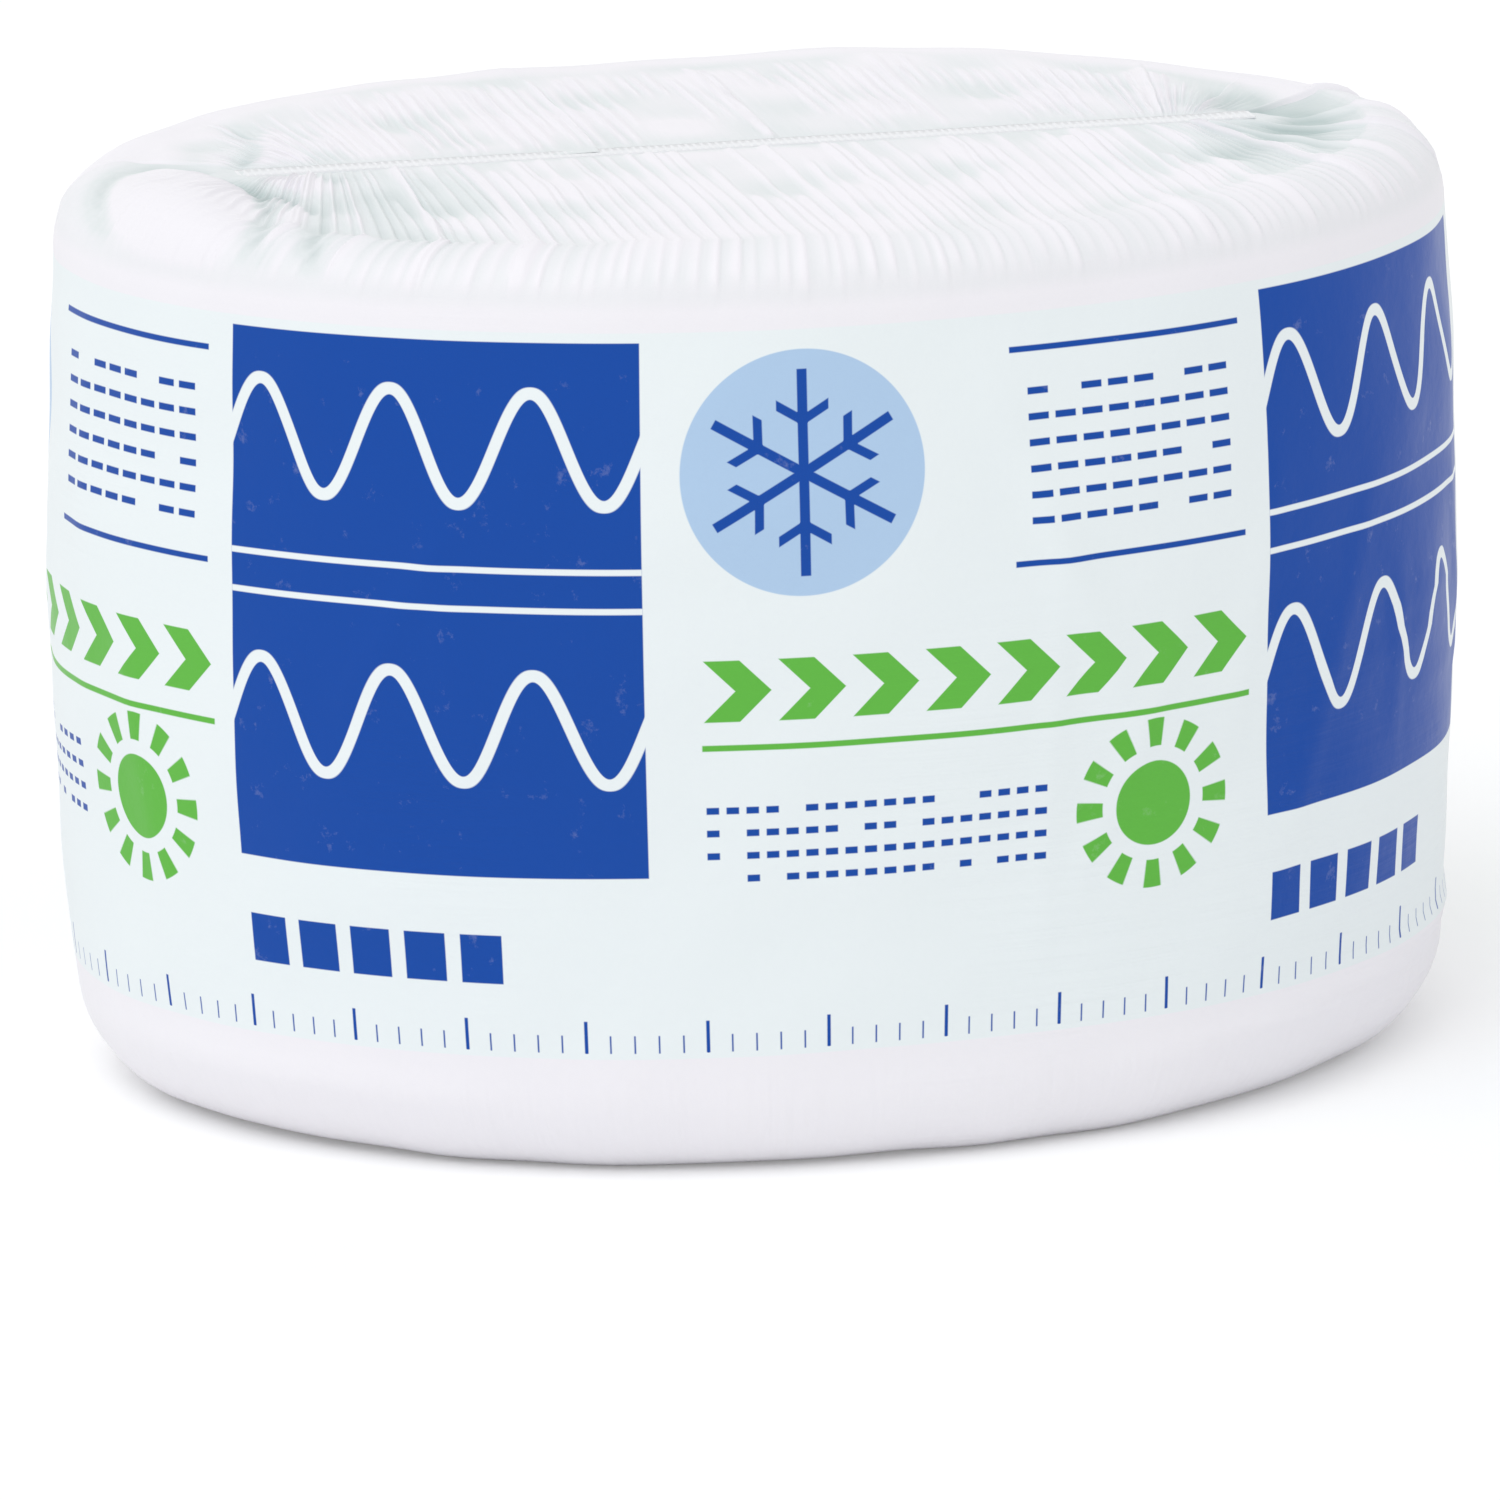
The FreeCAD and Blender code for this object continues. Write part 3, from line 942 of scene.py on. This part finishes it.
def crimped_strip_tree(material):
    group, tree, given, identifiers = new_inputs(
        "crimped strip",
        {
            "Length": SEAL_LENGTH,
            "Width": SEAL_WIDTH,
            "Thickness": SEAL_THICKNESS,
            "Rib pitch": 0.0032,
            "Waver": 0.0010,
            "Level": TOP,
            "Seed": 5,
        },
    )
    half = given["Length"] * 0.5
    ends = {"Start": tree.vector(-half, 0, 0), "End": tree.vector(half, 0, 0)}
    line = tree.node("GeometryNodeCurvePrimitiveLine", None, ends)
    cut = tree.node(
        "GeometryNodeResampleCurve", {"mode": "LENGTH"}, {"Curve": line, "Length": given["Rib pitch"]}
    )
    place = tree.node("GeometryNodeInputPosition")
    inputs = {"Vector": place, "Scale": 14.0, "W": given["Seed"]}
    random_way = tree.node("ShaderNodeTexNoise", {"noise_dimensions": "4D"}, inputs, output="Color")
    sideways, upwards, _ = tree.parts(random_way)
    nudge = tree.vector(0, (sideways - 0.5) * given["Waver"] * 4, (upwards - 0.5) * given["Waver"])
    lift = given["Level"] - given["Thickness"] * SUNK_SHARE
    nudged = tree.node("GeometryNodeSetPosition", None, {"Geometry": cut, "Offset": nudge})
    upright = tree.node("GeometryNodeSetCurveNormal", {"mode": "Z_UP"}, {"Curve": nudged})
    flat = {"Width": given["Width"], "Height": given["Thickness"] * RIBBON_SHARE}
    section = tree.node("GeometryNodeCurvePrimitiveQuadrilateral", None, flat)
    swept = {"Curve": upright, "Profile Curve": section, "Fill Caps": True}
    ribbon = tree.node("GeometryNodeCurveToMesh", None, swept)
    rib_sides = zip(("Rib pitch", "Width", "Thickness"), RIB_SHARES)
    rib_size = tree.vector(*(given[side] * share for side, share in rib_sides))
    rib = tree.node("GeometryNodeMeshCube", None, {"Size": rib_size})
    ribs = tree.node("GeometryNodeInstanceOnPoints", None, {"Points": upright, "Instance": rib})
    real_ribs = tree.node("GeometryNodeRealizeInstances", None, {0: ribs})
    both = tree.node("GeometryNodeJoinGeometry", None, {0: ribbon})
    tree.feed(both.socket.node.inputs[0], real_ribs)
    lifted = {"Geometry": both, "Offset": tree.vector(0, 0, lift)}
    end_tree(tree, tree.node("GeometryNodeSetPosition", None, lifted), material)
    return group, identifiers

top_seal = grow_piece("top_heat_seal", crimped_strip_tree(seal_finish), {"Length": SEAL_LENGTH})
print(f"top seal: {len(top_seal.data.polygons)} faces")

# %% [markdown]
# ## The blanket inside
# Nobody sees it, but the film needs something to be tight on, and a section through the part should
# show it. Nearly twelve metres of blanket in that oval make about seventeen turns. Geometry Nodes suit
# a rule like that: a tall thin section is swept along a spiral, and then every point moves. Near the
# rims, the outer turns are squeezed in height to leave the round foot and shoulder, and all turns
# follow the slack arc of the wall. The blanket stays a few millimetres inside the film, so that
# creases and hollows never reach it.

# %% A Geometry Nodes tree for the wound blanket
BLANKET_LENGTH = 11.94
WALL_GAP = 0.0055
END_GAP = 0.0110
LAYER_SHARE = 0.94    # the rest is the thin gap between two turns

def rounded(radius, flat_radius, corner):
    """How far a rounded rim falls short of its level end, at a radius."""
    past = (radius - flat_radius).math("MAXIMUM", 0).math("MINIMUM", corner)
    return corner - (corner * corner - past * past).math("SQRT")

def barrel_share(height):
    """The share of its full radius that the belly has at a height."""
    from_belly = height - BELLY
    across = (BARREL_RADIUS**2 - from_belly * from_belly).math("SQRT")
    return (across + barrel_middle) / HALF_LENGTH

def wound_blanket_tree(material, outer, layer, height):
    group, tree, given, identifiers = new_inputs(
        "wound blanket",
        {
            "Outer radius": outer,
            "Layer": layer,
            "Blanket width": height,
            "Press": PRESS,
            "Level": WALL_GAP,
            "Cuts": 9,
        },
    )
    inner = given["Layer"] * 0.5
    turns = {"Resolution": 56, "Rotations": given["Outer radius"] / given["Layer"] - 1}
    radii = {"Start Radius": inner, "End Radius": given["Outer radius"] - inner, "Height": 0.0}
    spiral = tree.node("GeometryNodeCurveSpiral", None, {**turns, **radii})
    upright = tree.node("GeometryNodeSetCurveNormal", {"mode": "Z_UP"}, {"Curve": spiral})
    tall = {"Width": given["Layer"] * LAYER_SHARE, "Height": given["Blanket width"]}
    section = tree.node("GeometryNodeCurvePrimitiveQuadrilateral", None, tall)
    cuts = {"Curve": section, "Cuts": given["Cuts"]}
    cut_section = tree.node("GeometryNodeSubdivideCurve", None, cuts)
    swept = {"Curve": upright, "Profile Curve": cut_section, "Fill Caps": True}
    wound = tree.node("GeometryNodeCurveToMesh", None, swept)
    x, y, z = tree.parts(tree.node("GeometryNodeInputPosition"))
    radius = (x * x + y * y).math("SQRT")
    share = z / given["Blanket width"] + 0.5
    foot_cut = rounded(radius, foot_middle - WALL_GAP, FOOT_RADIUS)
    shoulder_cut = rounded(radius, shoulder_middle - WALL_GAP, SHOULDER_RADIUS)
    low = given["Level"] + foot_cut
    high = given["Level"] + given["Blanket width"] - shoulder_cut
    level = low + share * (high - low)
    lean = barrel_share(level)
    pressed = {"Geometry": wound, "Position": tree.vector(x * lean, y * lean * given["Press"], level)}
    end_tree(tree, tree.node("GeometryNodeSetPosition", None, pressed), material)
    return group, identifiers

# %% [markdown]
# Glass wool is a mat of fine threads, pale yellow from its binder. It is dull and uneven, so its finish
# is rough, with a stretched thready bump and a slight sheen.

# %% The wool's material and the blanket
def glass_wool():
    material, tree = new_material("glass wool")
    place = tree.node("ShaderNodeTexCoord", output="Object")
    x, y, z = tree.parts(place)
    threads = tree.noise(tree.vector(x * 90, y * 90, z * 420), 1.0, 5, 0.65)
    tufts = tree.noise(place, 30, 4)
    colour = tree.blend(tufts, ink(226, 206, 150), ink(246, 238, 208))
    colour = tree.blend(threads * 0.5, colour, ink(252, 248, 232))
    normal = bump(tree, threads, distance=0.002, strength=0.8)
    finish(tree, colour, 0.9 + tufts * 0.1, normal, {"Sheen Weight": 0.2, "Specular IOR Level": 0.2})
    return material

wool_finish = glass_wool()
blanket_radius = HALF_LENGTH - WALL_GAP
blanket_height = TOP - WALL_GAP - END_GAP
blanket_layer = pi * blanket_radius**2 * PRESS / BLANKET_LENGTH
blanket_tree = wound_blanket_tree(wool_finish, blanket_radius, blanket_layer, blanket_height)
blanket = grow_piece("wound_blanket", blanket_tree, {"Cuts": 9})
print(f"blanket: {blanket_radius / blanket_layer:.1f} turns of {1000 * blanket_layer:.1f} mm")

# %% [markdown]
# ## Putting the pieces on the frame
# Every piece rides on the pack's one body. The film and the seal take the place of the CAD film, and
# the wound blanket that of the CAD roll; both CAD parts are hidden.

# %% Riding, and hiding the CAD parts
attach(film, BODY)
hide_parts("film_wrapper")
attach(top_seal, BODY)
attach(blanket, BODY)
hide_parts("insulation_roll")

strand_length = 2 * PRESS * shoulder_middle + (FOOT_RADIUS + SHOULDER_RADIUS) * pi / 2
strand_length += BARREL_RADIUS * (foot_lean + shoulder_lean)
print(f"flat web {WEB_WIDTH:.3f} x {strand_length:.3f} m, film on the pack {film_area:.3f} m2")

# %% [markdown]
# ## Floor, light and camera
# The pack stands on a plain white floor. A white world and one soft, broad sun from the left light it
# together at about the level at which a colour looks as it is written. It is a sun because a lamp's
# light would fall off and leave the far floor grey. Rays that go straight to the camera, or that are
# mirrored in the film, see the world as plain white. The floor that the camera sees is partly glow,
# which keeps its shadow light, while the floor that lights the film is a plain white one.

# %% Floor
FLOOR_HALF = 30.0
FLOOR_GLOW = 0.20
FLOOR_GREYS = ((0.845, 0.855, 0.860, 1), (0.855, 0.865, 0.870, 1))
GLOW_WHITE = (1.0, 0.985, 0.980, 1)
BOUNCE_WHITE = (0.97, 0.97, 0.97, 1)
floor_mesh = bpy.data.meshes.new("floor")
floor_corners = [(-FLOOR_HALF, -FLOOR_HALF, 0), (FLOOR_HALF, -FLOOR_HALF, 0)]
floor_corners += [(FLOOR_HALF, FLOOR_HALF, 0), (-FLOOR_HALF, FLOOR_HALF, 0)]
floor_mesh.from_pydata(floor_corners, [], [(0, 1, 2, 3)])
floor = new_piece("floor", floor_mesh)

def pale_floor():
    material, tree = new_material("pale floor")
    cloud = tree.noise(tree.node("ShaderNodeTexCoord", output="Object"), 3, 2)
    lit = tree.node("ShaderNodeBsdfDiffuse", None, {"Color": tree.blend(cloud, *FLOOR_GREYS)})
    glow = tree.node("ShaderNodeEmission", None, {"Color": GLOW_WHITE, "Strength": FLOOR_GLOW})
    seen_floor = tree.node("ShaderNodeAddShader", None, {0: lit, 1: glow})
    bounce = tree.node("ShaderNodeBsdfDiffuse", None, {"Color": BOUNCE_WHITE})
    seen = tree.node("ShaderNodeLightPath", output="Is Camera Ray")
    both = tree.node("ShaderNodeMixShader", None, {0: seen, 1: bounce, 2: seen_floor})
    tree.node("ShaderNodeOutputMaterial", None, {"Surface": both})
    return material

floor_mesh.materials.append(pale_floor())

# %% Light
WORLD_LEVEL = 0.77
SUN_STRENGTH = 0.84
SUN_BREADTH = radians(48)
SUN_HEADING = Vector((0.52, 0.40, -1.00))

def white_world():
    world = bpy.data.worlds.new("white room")
    world.use_nodes = True
    tree = Tree(world.node_tree)
    path = tree.node_tree.nodes.new("ShaderNodeLightPath")
    kinds = ("Camera", "Glossy", "Transmission")
    straight = together([Value(tree, path.outputs[f"Is {kind} Ray"]) for kind in kinds])
    strength = WORLD_LEVEL + (1 - WORLD_LEVEL) * straight
    inputs = {"Color": (1, 1, 1, 1), "Strength": strength}
    background = tree.node("ShaderNodeBackground", None, inputs)
    tree.node("ShaderNodeOutputWorld", None, {"Surface": background})
    bpy.context.scene.world = world

def soft_sun():
    sun_light = bpy.data.lights.new("soft sun", "SUN")
    sun_light.energy = SUN_STRENGTH
    sun_light.angle = SUN_BREADTH
    holder = bpy.data.objects.new("soft sun", sun_light)
    holder.rotation_euler = SUN_HEADING.to_track_quat("-Z", "Y").to_euler()
    bpy.context.scene.collection.objects.link(holder)

white_world()
soft_sun()
bpy.context.scene.view_settings.view_transform = "Standard"

# %% [markdown]
# The camera stands well back with a long lens, a little to the left of square on, and looks down by
# about fourteen degrees.

# %% Camera
CAMERA_PLACE = Vector((-0.915, -4.304, 1.220))
CAMERA_TURN = radians(11.763)
CAMERA_PITCH = radians(13.721)
CAMERA_ROLL = radians(1.129)
LENS = 258.5
SENSOR = 36.0
SHIFT_RIGHT = 0.0228
SHIFT_UP = -0.0340

def place_camera():
    level = cos(CAMERA_PITCH)
    ahead = Vector((sin(CAMERA_TURN) * level, cos(CAMERA_TURN) * level, -sin(CAMERA_PITCH)))
    level_right = Vector((cos(CAMERA_TURN), -sin(CAMERA_TURN), 0))
    level_up = level_right.cross(ahead)
    right = cos(CAMERA_ROLL) * level_right - sin(CAMERA_ROLL) * level_up
    upward = sin(CAMERA_ROLL) * level_right + cos(CAMERA_ROLL) * level_up
    camera = bpy.data.cameras.new("camera")
    camera.lens = LENS
    camera.sensor_width = SENSOR
    camera.shift_x = SHIFT_RIGHT
    camera.shift_y = SHIFT_UP
    holder = bpy.data.objects.new("camera", camera)
    axes = Matrix((right, upward, -ahead)).transposed()
    holder.matrix_world = Matrix.Translation(CAMERA_PLACE) @ axes.to_4x4()
    bpy.context.scene.collection.objects.link(holder)
    bpy.context.scene.camera = holder

place_camera()
